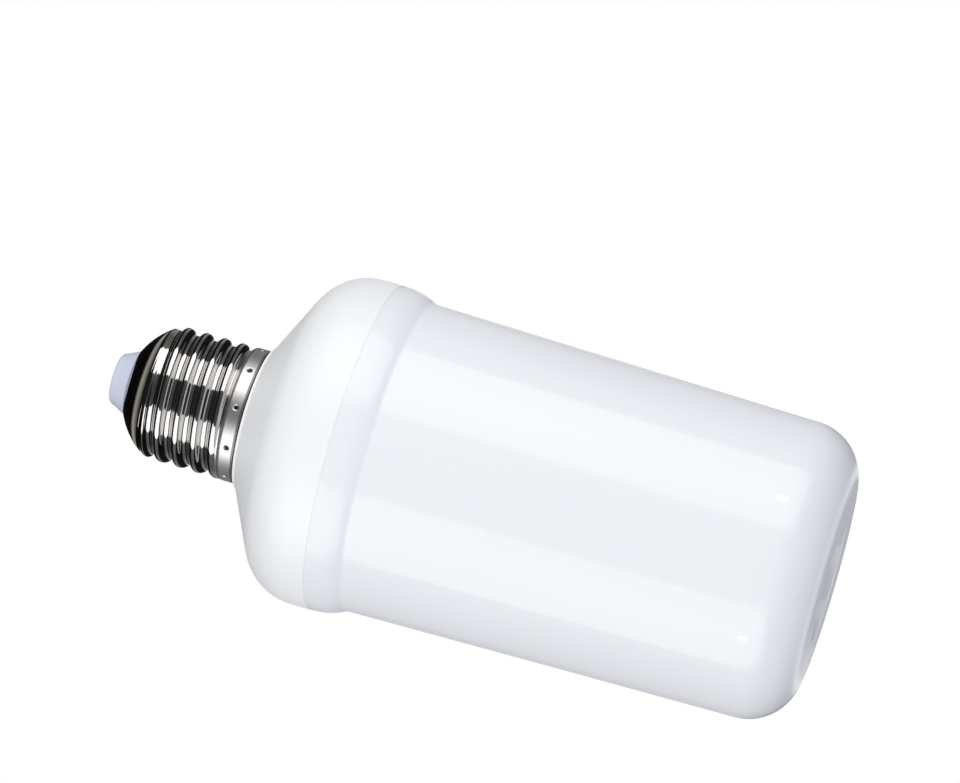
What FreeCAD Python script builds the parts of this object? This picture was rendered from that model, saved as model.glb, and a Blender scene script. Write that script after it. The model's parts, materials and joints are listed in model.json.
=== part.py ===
import FreeCAD, Part
import math
import os

# Flame effect LED bulb with an E27 screw cap, in millimetres.
# It stands on its frosted end: z = 0 is the end's rest ring, +Z runs up the axis to the cap's tip.

# Frosted cover
cover_wall_height = 86.2
cover_draft = 1.76              # narrowing of the tapered wall, from the collar to the end plane
cover_wall = 1.6
corner_radius = 10.1
pocket_radius = 10.9
pocket_depth = 2.0
collar_radius = 31.9
collar_step = 1.6               # from the top of the tapered wall out to the collar
collar_height = 6.8
collar_land = 1.0               # straight part of the collar, under the seam
collar_fillet = 1.5
lip_height = 3.4                # spigot of the cover inside the housing
lip_clearance = 0.15
snap_rise = 1.7                 # snap bead, above the seam
snap_depth = 0.35

# Housing
seam_step = 0.1                 # from the collar out to the housing
housing_wall = 1.7
skirt_height = 3.9
shoulder_radius = 11.0
cone_angle = 62.5               # between the cone's surface and the axis, in degrees
seat_margin = 0.5               # seat beyond the shell's rim
seat_height = 0.45
seam_chamfer = 0.15
neck_clearance = 0.05
neck_length = 2.8
spigot_clearance = 0.2
spigot_length = 11.0
spigot_wall = 1.5

# Screw shell, heights above its rim
sheet = 0.3
band_radius = 13.1
rim_flare = 0.3
rim_height = 0.8
thread_pitch = 3.629
thread_arc = 1.025              # radius of the crest's and the root's arc
thread_start = 2.925
thread_end = 19.71
first_crest = 6.1               # on the +X side
thread_run = 1.8                # over which the thread rises from the band or sinks into the nose
nose_step = 0.9                 # from the band in to the foot of the nose
nose_hole_radius = 6.45
nose_height = 4.94
levels_per_pitch = 6
points_per_turn = 16

# Punch marks that stake the shell to the neck
punch_count = 10
punch_height = 1.85
punch_radius = 0.65
punch_depth = 0.5
punch_angle = 23.0
punch_sides = 6
punch_clearance = 0.1

# Insulator and centre contact
insulator_height = 3.5
insulator_tip_radius = 5.05
insulator_edge = 0.8
insulator_flange_radius = 8.0
insulator_flange = 1.2
insulator_clearance = 0.05
contact_head_radius = 2.6
contact_head_height = 0.4
contact_chamfer = 0.15
contact_pin_radius = 1.0
contact_pin_length = 7.0

# Light core
plate_clearance = 0.5
plate_gap = 0.1
plate_thickness = 1.6
core_radius = 13.4
core_wall = 1.8
core_end_height = 15.5
gusset_count = 6
gusset_height = 7.0
gusset_length = 9.0
gusset_thickness = 1.4
end_board_thickness = 1.0
end_board_rim = 0.9             # wall left round the end board
board_clearance = 0.1
flex_thickness = 0.3
flex_clearance = 0.05
flex_bottom = 17.5
flex_top_gap = 0.5              # under the gussets
flex_seam = 90.0                # direction in which the wrapped board's edges meet
flex_gap = 3.0                  # open seam between those edges, in degrees
flex_tail = 30.0                # tail that reaches the end board, in degrees

# Light chips
chip_columns = 9
chip_rows = 11
chip_width = 2.8
chip_length = 3.5
chip_height = 0.7
chip_margin = 3.0               # lowest row, above the board's edge
chip_top_margin = 6.5
resistor_drop = 2.2             # resistor row, below the board's top edge
end_chip_count = 5
end_chip_circle = 7.5

# Screws that hold the base plate to the housing
screw_count = 3
screw_margin = 4.4              # between the heads and the cover's lip
screw_angle = 270.0
screw_head_radius = 2.5
screw_head_height = 1.7
screw_radius = 1.2
screw_length = 8.0
screw_point = 1.0
screw_head_chamfer = 0.6
screw_hole_clearance = 0.3
pilot_clearance = 0.05
boss_radius = 3.0
recess_width = 0.7
recess_span = 2.8
recess_depth = 1.0

# Driver board, which stands in two grooves of the neck
board_thickness = 1.2
board_gap = 0.9                 # above the base plate
board_top_gap = 4.0             # under the pin of the centre contact
board_groove = 0.4              # depth of the grooves in the neck
board_foot_height = 7.9
board_foot_half = 15.0
pin_radius = 0.3
pin_clearance = 0.1
pin_tail = 1.0
component_rise = 4.4            # row of large components, above the board's bottom edge
film_cap_rise = 10.9
diode_x = 6.0
diode_rise = 7.0
package_rise = 17.4             # the two chip packages
package_lift = 0.1
leg_thickness = 0.25
leg_width = 0.4
foot_length = 0.8

# Components
filter_cap_radius = 4.0
filter_cap_height = 11.0
filter_cap_x = -8.6
output_cap_radius = 3.15
output_cap_height = 9.0
output_cap_x = 8.2
cap_groove = 0.3
cap_groove_height = 1.5
cap_pin_pitch = 3.5
spool_radius = 4.0
spool_height = 8.0
spool_flange = 1.2
spool_core_radius = 2.0
winding_radius = 3.4
spool_pin_pitch = 5.0
film_cap_size = (10.0, 4.0, 8.0)
film_cap_edge = 0.4
film_cap_pin_pitch = 7.5
diode_size = (4.3, 2.6, 2.2)
diode_tab = (0.3, 1.4, 1.2)
leg_pitch = 1.27
bridge_size = (4.7, 3.9, 2.4)
bridge_legs = 2                 # along each side
driver_chip_size = (4.9, 3.9, 1.5)
driver_chip_legs = 4
control_chip_size = (9.9, 3.9, 1.5)
control_chip_legs = 8
resistor_size = (1.25, 2.0, 0.5)
fuse_radius = 1.6
fuse_length = 8.0
fuse_collar = 0.2
fuse_collar_length = 1.4
fuse_drop = 5.5                 # below the board's top edge

# Wires
wire_radius = 0.6
wire_lift = 0.05                # solder under a wire, where it meets a board
bend_share = 0.45               # of the shorter run, taken by the arc at a wire's corner
mains_drop = 8.5                # start of the mains wires, below the board's top edge
live_x = 3.0
live_rise = 1.2                 # bend of the live wire, above that edge
live_end_run = 1.6
neutral_x = -5.0
neutral_drop = 3.5              # bend of the neutral wire, below that edge
neutral_end_gap = 0.1
lead_x = 6.2
lead_pitch = 1.6
lead_rise = 3.4                 # start of the leads, above the board's bottom edge
lead_bow = 1.0                  # sideways slack at half height

# Heights and radii that follow from the sizes above
cover_top_radius = collar_radius - collar_step
cover_end_radius = cover_top_radius - cover_draft
housing_radius = collar_radius + seam_step
rim_radius = band_radius + rim_flare
seat_radius = rim_radius + seat_margin
nose_radius = band_radius - nose_step
taper = (cover_top_radius - cover_end_radius) / cover_wall_height
taper_angle = math.atan(taper)
seam = cover_wall_height + collar_height
lip_top = seam + lip_height
skirt_top = seam + skirt_height
skirt_inner = housing_radius - housing_wall
shoulder_centre = (housing_radius - shoulder_radius, skirt_top)
plate_bottom = lip_top + plate_gap
plate_top = plate_bottom + plate_thickness
thread_depth = 2 * thread_arc * (1 - math.cos(math.asin(thread_pitch / 4 / thread_arc)))
root_radius = band_radius - thread_depth
neck_radius = band_radius - sheet - neck_clearance
spigot_radius = root_radius - sheet - spigot_clearance
neck_bore = spigot_radius - spigot_wall
board_bottom = plate_top + board_gap
board_half = neck_bore + board_groove
board_half_thickness = board_thickness / 2
FRONT = -1
BACK = 1


def on_circle(centre, radius, degrees):
    """A point of the (radius, height) plane on a circle."""
    angle = math.radians(degrees)
    return centre[0] + radius * math.cos(angle), centre[1] + radius * math.sin(angle)


def turned(start, *steps, sweep=360):
    """Solid of revolution about Z. A step is the next (radius, height), or (way point, end) for an arc."""
    def at(point):
        return FreeCAD.Vector(point[0], 0, point[1])
    edges = []
    here = start
    for step in steps:
        if isinstance(step[0], tuple):
            way, end = step
            edges.append(Part.Arc(at(here), at(way), at(end)).toShape())
        else:
            end = step
            edges.append(Part.LineSegment(at(here), at(end)).toShape())
        here = end
    if here != start:
        edges.append(Part.LineSegment(at(here), at(start)).toShape())
    face = Part.Face(Part.Wire(edges))
    return face.revolve(FreeCAD.Vector(0, 0, 0), FreeCAD.Vector(0, 0, 1), sweep)


def ring(inner, outer, low, high, sweep=360):
    return turned((inner, low), (outer, low), (outer, high), (inner, high), sweep=sweep)


def rod(radius, length, base, direction=(0, 0, 1)):
    return Part.makeCylinder(radius, length, FreeCAD.Vector(*base), FreeCAD.Vector(*direction))


def block(size, base_centre):
    """Box whose base is centred on a point."""
    corner = FreeCAD.Vector(base_centre[0] - size[0] / 2, base_centre[1] - size[1] / 2, base_centre[2])
    return Part.makeBox(size[0], size[1], size[2], corner)


def fused(shapes):
    first, *rest = shapes
    return first.multiFuse(rest).removeSplitter() if rest else first


def around(shape, count, start=0.0):
    """Copies of a shape, evenly spaced about Z."""
    copies = []
    for index in range(count):
        copy = shape.copy()
        copy.rotate(FreeCAD.Vector(0, 0, 0), FreeCAD.Vector(0, 0, 1), start + index * 360 / count)
        copies.append(copy)
    return copies


def fillet_circles(solid, radius, height, size):
    """Round the circular edges of one radius at one height."""
    near = 0.02
    edges = []
    for edge in solid.Edges:
        box = edge.BoundBox
        if box.ZLength < near and abs(box.ZMin - height) < near and abs(box.XMax - radius) < near:
            edges.append(edge)
    return solid.makeFillet(size, edges)


# Cover


def cover_radius(height):
    return cover_end_radius + taper * height


def corner_centre():
    """Centre of the arc that joins the end plane to the tapered wall."""
    lean = corner_radius * (taper - 1 / math.cos(taper_angle))
    return cover_end_radius + lean, corner_radius


def cover_inner_radius(height):
    return cover_radius(height) - cover_wall / math.cos(taper_angle)


def snap_ring(inset, depth):
    """Triangular ring of the snap joint, with its base on the cover's lip."""
    lip = skirt_inner - lip_clearance
    middle = seam + snap_rise
    return turned(
        (lip - inset, middle - depth - inset),
        (lip + depth, middle),
        (lip - inset, middle + depth + inset),
    )


def diffuser():
    centre = corner_centre()
    wall_normal = -math.degrees(taper_angle)
    low_arc = (wall_normal - math.degrees(math.pi / 2)) / 2
    collar_inset = collar_radius - cover_top_radius
    collar_drop = collar_height - collar_land
    collar_arc = (collar_drop**2 + collar_inset**2) / (2 * collar_inset)
    collar_centre = (collar_radius - collar_arc, seam - collar_land)
    collar_angle = math.degrees(math.asin(collar_drop / collar_arc))
    lip_outer = skirt_inner - lip_clearance
    outside = turned(
        (0, pocket_depth),
        (pocket_radius, pocket_depth),
        (pocket_radius, 0),
        (centre[0], 0),
        (on_circle(centre, corner_radius, low_arc), on_circle(centre, corner_radius, wall_normal)),
        (cover_top_radius, cover_wall_height),
        (on_circle(collar_centre, collar_arc, -collar_angle / 2), (collar_radius, seam - collar_land)),
        (collar_radius, seam),
        (lip_outer, seam),
        (lip_outer, lip_top),
        (0, lip_top),
    )
    outside = fillet_circles(outside, cover_top_radius, cover_wall_height, collar_fillet)
    inner_corner = corner_radius - cover_wall
    inside = turned(
        (0, pocket_depth + cover_wall),
        (pocket_radius + cover_wall, pocket_depth + cover_wall),
        (pocket_radius + cover_wall, cover_wall),
        (centre[0], cover_wall),
        (on_circle(centre, inner_corner, low_arc), on_circle(centre, inner_corner, wall_normal)),
        (cover_inner_radius(lip_top), lip_top),
        (0, lip_top),
    )
    return outside.cut(inside).fuse(snap_ring(cover_wall / 4, snap_depth)).removeSplitter()


# Housing


def shoulder_outline(offset):
    """Arc of the shoulder as a step, moved inwards by an offset, and the cone's height at a radius."""
    radius = shoulder_radius - offset
    way = on_circle(shoulder_centre, radius, cone_angle / 2)
    end = on_circle(shoulder_centre, radius, cone_angle)

    def cone_height(at_radius):
        return end[1] + (end[0] - at_radius) / math.tan(math.radians(cone_angle))

    return (way, end), cone_height


outer_arc, outer_cone = shoulder_outline(0)
inner_arc, inner_cone = shoulder_outline(housing_wall)
seat = outer_cone(seat_radius) + seat_height


def punch_points(tip_radius, base_radius, half_width):
    """Points of the staking punch round the band, from a base radius in towards the axis."""
    height = seat + punch_height
    corners = []
    for index in range(punch_sides):
        y, z = on_circle((0, height), half_width, index * 360 / punch_sides)
        corners.append(FreeCAD.Vector(base_radius, y, z))
    base = Part.makePolygon(corners + corners[:1])
    point = Part.makeLoft([base, Part.Vertex(tip_radius, 0, height)], True, True)
    return around(point, punch_count, punch_angle)


def screw_places():
    circle = cover_inner_radius(lip_top) - screw_margin - screw_head_radius
    angles = [screw_angle + index * 360 / screw_count for index in range(screw_count)]
    return [on_circle((0, 0), circle, angle) for angle in angles]


def housing():
    envelope = turned(
        (0, seam),
        (housing_radius - seam_chamfer, seam),
        (housing_radius, seam + seam_chamfer),
        (housing_radius, skirt_top),
        outer_arc,
        (seat_radius, outer_cone(seat_radius)),
        (seat_radius, seat),
        (neck_radius, seat),
        (neck_radius, seat + neck_length),
        (spigot_radius, seat + neck_length),
        (spigot_radius, seat + spigot_length),
        (0, seat + spigot_length),
    )
    hollow = turned(
        (0, seam),
        (skirt_inner, seam),
        (skirt_inner, skirt_top),
        inner_arc,
        (neck_bore, inner_cone(neck_bore)),
        (neck_bore, seat + spigot_length),
        (0, seat + spigot_length),
    )
    places = screw_places()
    bosses = [rod(boss_radius, seat - plate_top, (x, y, plate_top)).common(envelope) for x, y in places]
    pilot_length = screw_length - plate_thickness + screw_radius
    pilots = [rod(screw_radius + pilot_clearance, pilot_length, (x, y, plate_top)) for x, y in places]
    groove_size = (
        2 * (board_half + board_clearance),
        board_thickness + 2 * board_clearance,
        seat + spigot_length - board_bottom,
    )
    groove = block(groove_size, (0, 0, board_bottom))
    skin = band_radius - sheet
    dents = punch_points(skin - punch_depth - punch_clearance, skin, punch_radius + 2 * punch_clearance)
    body = fused([envelope.cut(hollow)] + bosses)
    return body.cut(pilots + [groove, snap_ring(0, snap_depth + lip_clearance)] + dents)


# Screw shell


def thread_radius(rise, skin):
    """Radius of the rolled thread at a height above a crest, a skin's depth inside the outer face."""
    along = abs((rise + thread_pitch / 2) % thread_pitch - thread_pitch / 2)
    crest = thread_arc - skin
    root = thread_arc + skin
    if along <= crest * thread_pitch / 4 / thread_arc:
        return band_radius - thread_arc + math.sqrt(crest**2 - along**2)
    return root_radius + thread_arc - math.sqrt(root**2 - (thread_pitch / 2 - along)**2)


def eased(low, high, value):
    """Smooth step from 0 to 1."""
    share = min(1.0, max(0.0, (value - low) / (high - low)))
    return share * share * (3 - 2 * share)


def shell_radius(turn, height, skin):
    """Radius of the threaded wall at a share of a turn and a height above the rim."""
    rolled = thread_radius(height - first_crest - thread_pitch * turn, skin)
    rise = eased(thread_start, thread_start + thread_run, height)
    fall = eased(thread_end - thread_run, thread_end, height)
    grown = band_radius - skin + (rolled - band_radius + skin) * rise
    return grown + (nose_radius - skin - grown) * fall


def thread_level(height, skin):
    """Closed curve round the threaded wall at one height."""
    points = []
    for index in range(points_per_turn):
        turn = index / points_per_turn
        radius = shell_radius(turn, height, skin)
        angle = 2 * math.pi * turn
        points.append(FreeCAD.Vector(radius * math.cos(angle), radius * math.sin(angle), seat + height))
    curve = Part.BSplineCurve()
    curve.interpolate(points, PeriodicFlag=True)
    return Part.Wire([curve.toShape()])


def thread_core(skin):
    """Solid inside the threaded wall, ruled from level to level between two true circles."""
    def circle(height, radius):
        centre = FreeCAD.Vector(0, 0, seat + height)
        return Part.Wire([Part.Circle(centre, FreeCAD.Vector(0, 0, 1), radius).toShape()])
    length = thread_end - thread_start
    count = round(length / thread_pitch * levels_per_pitch)
    levels = [thread_level(thread_start + length * index / count, skin) for index in range(1, count)]
    wires = [circle(thread_start, band_radius - skin)] + levels + [circle(thread_end, nose_radius - skin)]
    return Part.makeLoft(wires, True, True)


def nose_sphere():
    """Centre and radius of the sphere on which the nose runs from the thread's end to the hole."""
    drop = (nose_radius**2 - nose_hole_radius**2 - nose_height**2) / (2 * nose_height)
    return (0, seat + thread_end - drop), math.hypot(nose_radius, drop)


def nose():
    centre, radius = nose_sphere()
    base = seat + thread_end
    inner = radius - sheet
    low = math.degrees(math.acos(nose_radius / radius))
    high = math.degrees(math.acos(nose_hole_radius / radius))
    foot = math.degrees(math.asin((base - centre[1]) / inner))
    inner_high = math.degrees(math.acos(nose_hole_radius / inner))
    return turned(
        on_circle(centre, inner, foot),
        (nose_radius, base),
        (on_circle(centre, radius, (low + high) / 2), (nose_hole_radius, base + nose_height)),
        on_circle(centre, inner, inner_high),
        (on_circle(centre, inner, (foot + inner_high) / 2), on_circle(centre, inner, foot)),
    )


def screw_shell():
    rim = turned(
        (rim_radius - sheet, seat),
        (rim_radius, seat),
        (band_radius, seat + rim_height),
        (band_radius, seat + thread_start),
        (band_radius - sheet, seat + thread_start),
        (band_radius - sheet, seat + rim_height),
    )
    thread = thread_core(0).cut(thread_core(sheet))
    skin = band_radius - sheet
    bumps = punch_points(skin - punch_depth, skin + sheet / 2, punch_radius + punch_clearance)
    dents = punch_points(band_radius - punch_depth, band_radius, punch_radius)
    return rim.fuse([thread, nose()] + bumps).cut(dents)


# Insulator and centre contact
cap_tip = seat + thread_end + nose_height + insulator_height
contact_pin_bottom = cap_tip + contact_head_height - contact_pin_length
board_top = contact_pin_bottom - board_top_gap


def cap_insulator():
    centre, radius = nose_sphere()
    inner = radius - sheet
    flange_top = centre[1] + math.sqrt(inner**2 - insulator_flange_radius**2) - insulator_clearance
    throat = nose_hole_radius - insulator_clearance
    bore = contact_pin_radius + insulator_clearance
    edge_centre = (insulator_tip_radius - insulator_edge, cap_tip - insulator_edge)
    return turned(
        (bore, flange_top - insulator_flange),
        (insulator_flange_radius, flange_top - insulator_flange),
        (insulator_flange_radius, flange_top),
        (throat, flange_top),
        (throat, cap_tip - insulator_height),
        (insulator_tip_radius, edge_centre[1]),
        (on_circle(edge_centre, insulator_edge, 45), (edge_centre[0], cap_tip)),
        (bore, cap_tip),
    )


def centre_contact():
    top = cap_tip + contact_head_height
    return turned(
        (0, contact_pin_bottom),
        (contact_pin_radius, contact_pin_bottom),
        (contact_pin_radius, cap_tip),
        (contact_head_radius, cap_tip),
        (contact_head_radius, top - contact_chamfer),
        (contact_head_radius - contact_chamfer, top),
        (0, top),
    )


# Light core
core_inner = core_radius - core_wall
flex_inner = core_radius + flex_clearance
flex_outer = flex_inner + flex_thickness
flex_top = plate_bottom - gusset_height - flex_top_gap
end_board_radius = core_radius - end_board_rim
column_angle = 360 / chip_columns


def led_former():
    tube = ring(core_inner, core_radius, core_end_height, plate_bottom)
    plate = ring(core_inner, skirt_inner - plate_clearance, plate_bottom, plate_top)
    root = core_radius - core_wall / 2
    corners = [
        (root, -gusset_thickness / 2, plate_bottom),
        (core_radius + gusset_length, -gusset_thickness / 2, plate_bottom),
        (root, -gusset_thickness / 2, plate_bottom - gusset_height),
    ]
    outline = Part.makePolygon([FreeCAD.Vector(*corner) for corner in corners + corners[:1]])
    gusset = Part.Face(outline).extrude(FreeCAD.Vector(0, gusset_thickness, 0))
    board_seat = rod(end_board_radius + board_clearance, end_board_thickness, (0, 0, core_end_height))
    holes = [rod(screw_radius + screw_hole_clearance, plate_thickness, (x, y, plate_bottom))
             for x, y in screw_places()]
    return fused([tube, plate] + around(gusset, gusset_count)).cut([board_seat] + holes)


def former_screws():
    profile = turned(
        (0, -screw_head_height),
        (screw_head_radius - screw_head_chamfer, -screw_head_height),
        (screw_head_radius, screw_head_chamfer - screw_head_height),
        (screw_head_radius, 0),
        (screw_radius, 0),
        (screw_radius, screw_length - screw_point),
        (0, screw_length),
    )
    slots = [block(size + (recess_depth,), (0, 0, -screw_head_height))
             for size in ((recess_width, recess_span), (recess_span, recess_width))]
    screw = profile.cut(slots)
    screws = []
    for x, y in screw_places():
        copy = screw.copy()
        copy.translate(FreeCAD.Vector(x, y, plate_bottom))
        screws.append(copy)
    return Part.makeCompound(screws)


def led_wrap_board():
    wrap = ring(flex_inner, flex_outer, flex_bottom, flex_top, sweep=360 - flex_gap)
    wrap.rotate(FreeCAD.Vector(0, 0, 0), FreeCAD.Vector(0, 0, 1), flex_seam + flex_gap / 2)
    tail = ring(flex_inner, flex_outer, core_end_height, flex_bottom, sweep=flex_tail)
    tail.rotate(FreeCAD.Vector(0, 0, 0), FreeCAD.Vector(0, 0, 1), flex_seam + 180 - flex_tail / 2)
    return fused([wrap, tail])


def column_of(size, height):
    """A small part laid on the wrapped board, once for each column. Its size is tangent, axial, radial."""
    width, length, thickness = size
    chip = block((thickness, width, length), (flex_outer + thickness / 2, 0, height - length / 2))
    return around(chip, chip_columns, flex_seam + column_angle / 2)


def wrap_leds():
    chips = []
    low = flex_bottom + chip_margin
    high = flex_top - chip_top_margin
    for row in range(chip_rows):
        height = low + (high - low) * row / (chip_rows - 1)
        chips += column_of((chip_width, chip_length, chip_height), height)
    return Part.makeCompound(chips)


def chip_resistors():
    return Part.makeCompound(column_of(resistor_size, flex_top - resistor_drop))


def led_end_board():
    return rod(end_board_radius, end_board_thickness, (0, 0, core_end_height))


def end_leds():
    under = core_end_height - chip_height
    size = (chip_width, chip_length, chip_height)
    outer = around(block(size, (end_chip_circle, 0, under)), end_chip_count)
    return Part.makeCompound([block(size, (0, 0, under))] + outer)


# Driver
component_height = board_bottom + component_rise
film_cap_height = board_bottom + film_cap_rise
package_height = board_bottom + package_rise


def chip_package(size, legs_per_side):
    """Moulded package on gull-wing legs, standing on z = 0."""
    width = size[1]
    knee = package_lift + size[2] / 2
    pieces = [block(size, (0, 0, package_lift))]
    for side in (-1, 1):
        leg_y = side * (width + leg_thickness) / 2
        foot_y = side * (width + foot_length) / 2
        for index in range(legs_per_side):
            x = (index - (legs_per_side - 1) / 2) * leg_pitch
            pieces.append(block((leg_width, leg_thickness, knee), (x, leg_y, 0)))
            pieces.append(block((leg_width, foot_length, leg_thickness), (x, foot_y, 0)))
    return fused(pieces)


def with_pins(body, pitch):
    """Add two straight pins that pass through the board under z = 0."""
    length = board_thickness + pin_tail
    pins = [rod(pin_radius, length, (x, 0, 0), (0, 0, -1)) for x in (-pitch / 2, pitch / 2)]
    return fused([body] + pins)


def on_board(shape, side, x, height):
    """Set a component that was made on z = 0 on a face of the driver board."""
    shape.rotate(FreeCAD.Vector(0, 0, 0), FreeCAD.Vector(1, 0, 0), -90 * side)
    shape.translate(FreeCAD.Vector(x, side * board_half_thickness, height))
    return shape


def radial_capacitor(radius, height):
    can = turned(
        (0, 0),
        (radius, 0),
        (radius, cap_groove_height - cap_groove),
        (radius - cap_groove, cap_groove_height),
        (radius, cap_groove_height + cap_groove),
        (radius, height - cap_groove),
        (radius - cap_groove, height),
        (0, height),
    )
    return with_pins(can, cap_pin_pitch)


def inductor_core():
    spool = turned(
        (0, 0),
        (spool_radius, 0),
        (spool_radius, spool_flange),
        (spool_core_radius, spool_flange),
        (spool_core_radius, spool_height - spool_flange),
        (spool_radius, spool_height - spool_flange),
        (spool_radius, spool_height),
        (0, spool_height),
    )
    return with_pins(spool, spool_pin_pitch)


def film_capacitor():
    body = block(film_cap_size, (0, 0, 0))
    edges = [edge for edge in body.Edges if edge.BoundBox.ZMax > film_cap_edge]
    return with_pins(body.makeChamfer(film_cap_edge, edges), film_cap_pin_pitch)


def freewheel_diode():
    tabs = [block(diode_tab, (side * (diode_size[0] + diode_tab[0]) / 2, 0, 0)) for side in (-1, 1)]
    return fused([block(diode_size, (0, 0, 0))] + tabs)


def bent_wire(points, radius):
    """Round wire along straight runs joined by tangent arcs."""
    corners = [FreeCAD.Vector(*point) for point in points]
    spans = []
    here = corners[0]
    for before, corner, after in zip(corners, corners[1:], corners[2:]):
        trim = bend_share * min(before.distanceToPoint(corner), after.distanceToPoint(corner))
        back = (before - corner).normalize()
        ahead = (after - corner).normalize()
        half_turn = (math.pi - back.getAngle(ahead)) / 2
        bend = trim / math.tan(half_turn)
        start = corner + back * trim
        spans.append(Part.makeCylinder(radius, here.distanceToPoint(start), here, -back))
        circle = Part.Circle(start, back, radius).toShape()
        centre = corner + (back + ahead).normalize() * (bend / math.cos(half_turn))
        section = Part.Face(Part.Wire([circle]))
        spans.append(section.revolve(centre, ahead.cross(back), 2 * math.degrees(half_turn)))
        here = corner + ahead * trim
    spans.append(Part.makeCylinder(radius, here.distanceToPoint(corners[-1]), here, corners[-1] - here))
    return fused(spans)


def fusible_resistor():
    """Cylindrical resistor with a metal cap on each end, lying along X."""
    half = fuse_length / 2
    body = rod(fuse_radius - fuse_collar, fuse_length, (-half, 0, fuse_radius), (1, 0, 0))
    collars = [rod(fuse_radius, fuse_collar_length, (x, 0, fuse_radius), (1, 0, 0))
               for x in (-half, half - fuse_collar_length)]
    return fused([body] + collars)


def driver_board():
    """T-shaped board, drilled for every pin that passes through it."""
    foot = block((2 * board_foot_half, board_thickness, board_foot_height), (0, 0, board_bottom))
    stem = block((2 * board_half, board_thickness, board_top - board_bottom), (0, 0, board_bottom))
    rows = (
        (filter_cap_x, component_height, cap_pin_pitch),
        (output_cap_x, component_height, cap_pin_pitch),
        (0, component_height, spool_pin_pitch),
        (0, film_cap_height, film_cap_pin_pitch),
    )
    holes = []
    for x, height, pitch in rows:
        for side in (-1, 1):
            base = (x + side * pitch / 2, -board_half_thickness, height)
            holes.append(rod(pin_radius + pin_clearance, board_thickness, base, (0, 1, 0)))
    return fused([foot, stem]).cut(holes)


wire_on_board = board_half_thickness + wire_radius + wire_lift
mains_start = board_top - mains_drop
neutral_turn = board_top - neutral_drop


def live_wire():
    """Insulated wire from the back of the driver board to the pin of the centre contact."""
    points = [
        (live_x, wire_on_board, mains_start),
        (live_x, wire_on_board, board_top + live_rise),
        (0, 0, contact_pin_bottom - live_end_run),
        (0, 0, contact_pin_bottom),
    ]
    return bent_wire(points, wire_radius)


def neutral_wire():
    """Insulated wire from the back of the driver board to the inside of the screw shell."""
    wall = root_radius - sheet - neutral_end_gap
    points = [
        (neutral_x, wire_on_board, mains_start),
        (neutral_x, wire_on_board, neutral_turn),
        (-math.sqrt(wall**2 - (wire_on_board + wire_radius)**2), wire_on_board, neutral_turn),
    ]
    return bent_wire(points, wire_radius)


def supply_lead(index):
    """Insulated lead from the back of the driver board down through the core to the end board."""
    x = lead_x + index * lead_pitch
    start = board_bottom + lead_rise
    end = core_end_height + end_board_thickness + wire_lift
    points = [
        (x, wire_on_board, start),
        (x, wire_on_board + lead_bow, (start + end) / 2),
        (x, wire_on_board, end),
    ]
    return bent_wire(points, wire_radius)


def control_chip():
    chip = chip_package(control_chip_size, control_chip_legs)
    chip.translate(FreeCAD.Vector(0, 0, core_end_height + end_board_thickness))
    return chip


def winding():
    return ring(spool_core_radius, winding_radius, spool_flange, spool_height - spool_flange)


nodes = {
    "diffuser": diffuser(),
    "housing": housing(),
    "screw_shell": screw_shell(),
    "cap_insulator": cap_insulator(),
    "centre_contact": centre_contact(),
    "led_former": led_former(),
    "former_screws": former_screws(),
    "led_wrap_board": led_wrap_board(),
    "wrap_leds": wrap_leds(),
    "chip_resistors": chip_resistors(),
    "led_end_board": led_end_board(),
    "end_leds": end_leds(),
    "control_chip": control_chip(),
    "driver_board": driver_board(),
    "filter_capacitor": on_board(radial_capacitor(filter_cap_radius, filter_cap_height), FRONT, filter_cap_x,
                                 component_height),
    "output_capacitor": on_board(radial_capacitor(output_cap_radius, output_cap_height), FRONT, output_cap_x,
                                 component_height),
    "inductor_core": on_board(inductor_core(), FRONT, 0, component_height),
    "inductor_winding": on_board(winding(), FRONT, 0, component_height),
    "film_capacitor": on_board(film_capacitor(), BACK, 0, film_cap_height),
    "freewheel_diode": on_board(freewheel_diode(), BACK, diode_x, board_bottom + diode_rise),
    "driver_chip": on_board(chip_package(driver_chip_size, driver_chip_legs), FRONT, 0, package_height),
    "bridge_rectifier": on_board(chip_package(bridge_size, bridge_legs), BACK, 0, package_height),
    "fusible_resistor": on_board(fusible_resistor(), FRONT, 0, board_top - fuse_drop),
    "live_wire": live_wire(),
    "neutral_wire": neutral_wire(),
    "positive_lead": supply_lead(0),
    "negative_lead": supply_lead(1),
}

os.makedirs("parts", exist_ok=True)
for name, shape in nodes.items():
    shape.exportStep("parts/" + name + ".step")
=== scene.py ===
import json
import math

import bpy
from mathutils import Matrix, Vector


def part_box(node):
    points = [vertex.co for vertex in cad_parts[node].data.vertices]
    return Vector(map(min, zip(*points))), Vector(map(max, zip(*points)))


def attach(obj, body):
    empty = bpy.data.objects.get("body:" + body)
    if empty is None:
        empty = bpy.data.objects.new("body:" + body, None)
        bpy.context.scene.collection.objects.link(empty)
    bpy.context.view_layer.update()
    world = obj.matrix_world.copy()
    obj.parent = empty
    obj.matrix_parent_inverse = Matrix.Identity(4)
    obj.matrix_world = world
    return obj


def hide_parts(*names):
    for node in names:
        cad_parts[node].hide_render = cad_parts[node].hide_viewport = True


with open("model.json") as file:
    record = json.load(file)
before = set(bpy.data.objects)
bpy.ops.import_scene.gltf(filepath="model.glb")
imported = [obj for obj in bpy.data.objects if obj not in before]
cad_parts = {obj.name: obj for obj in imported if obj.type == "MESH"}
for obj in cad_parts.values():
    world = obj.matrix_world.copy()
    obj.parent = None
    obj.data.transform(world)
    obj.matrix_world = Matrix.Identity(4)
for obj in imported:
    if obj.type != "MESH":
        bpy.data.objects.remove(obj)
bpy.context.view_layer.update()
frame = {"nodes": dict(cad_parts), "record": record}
MM = 0.001

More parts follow.
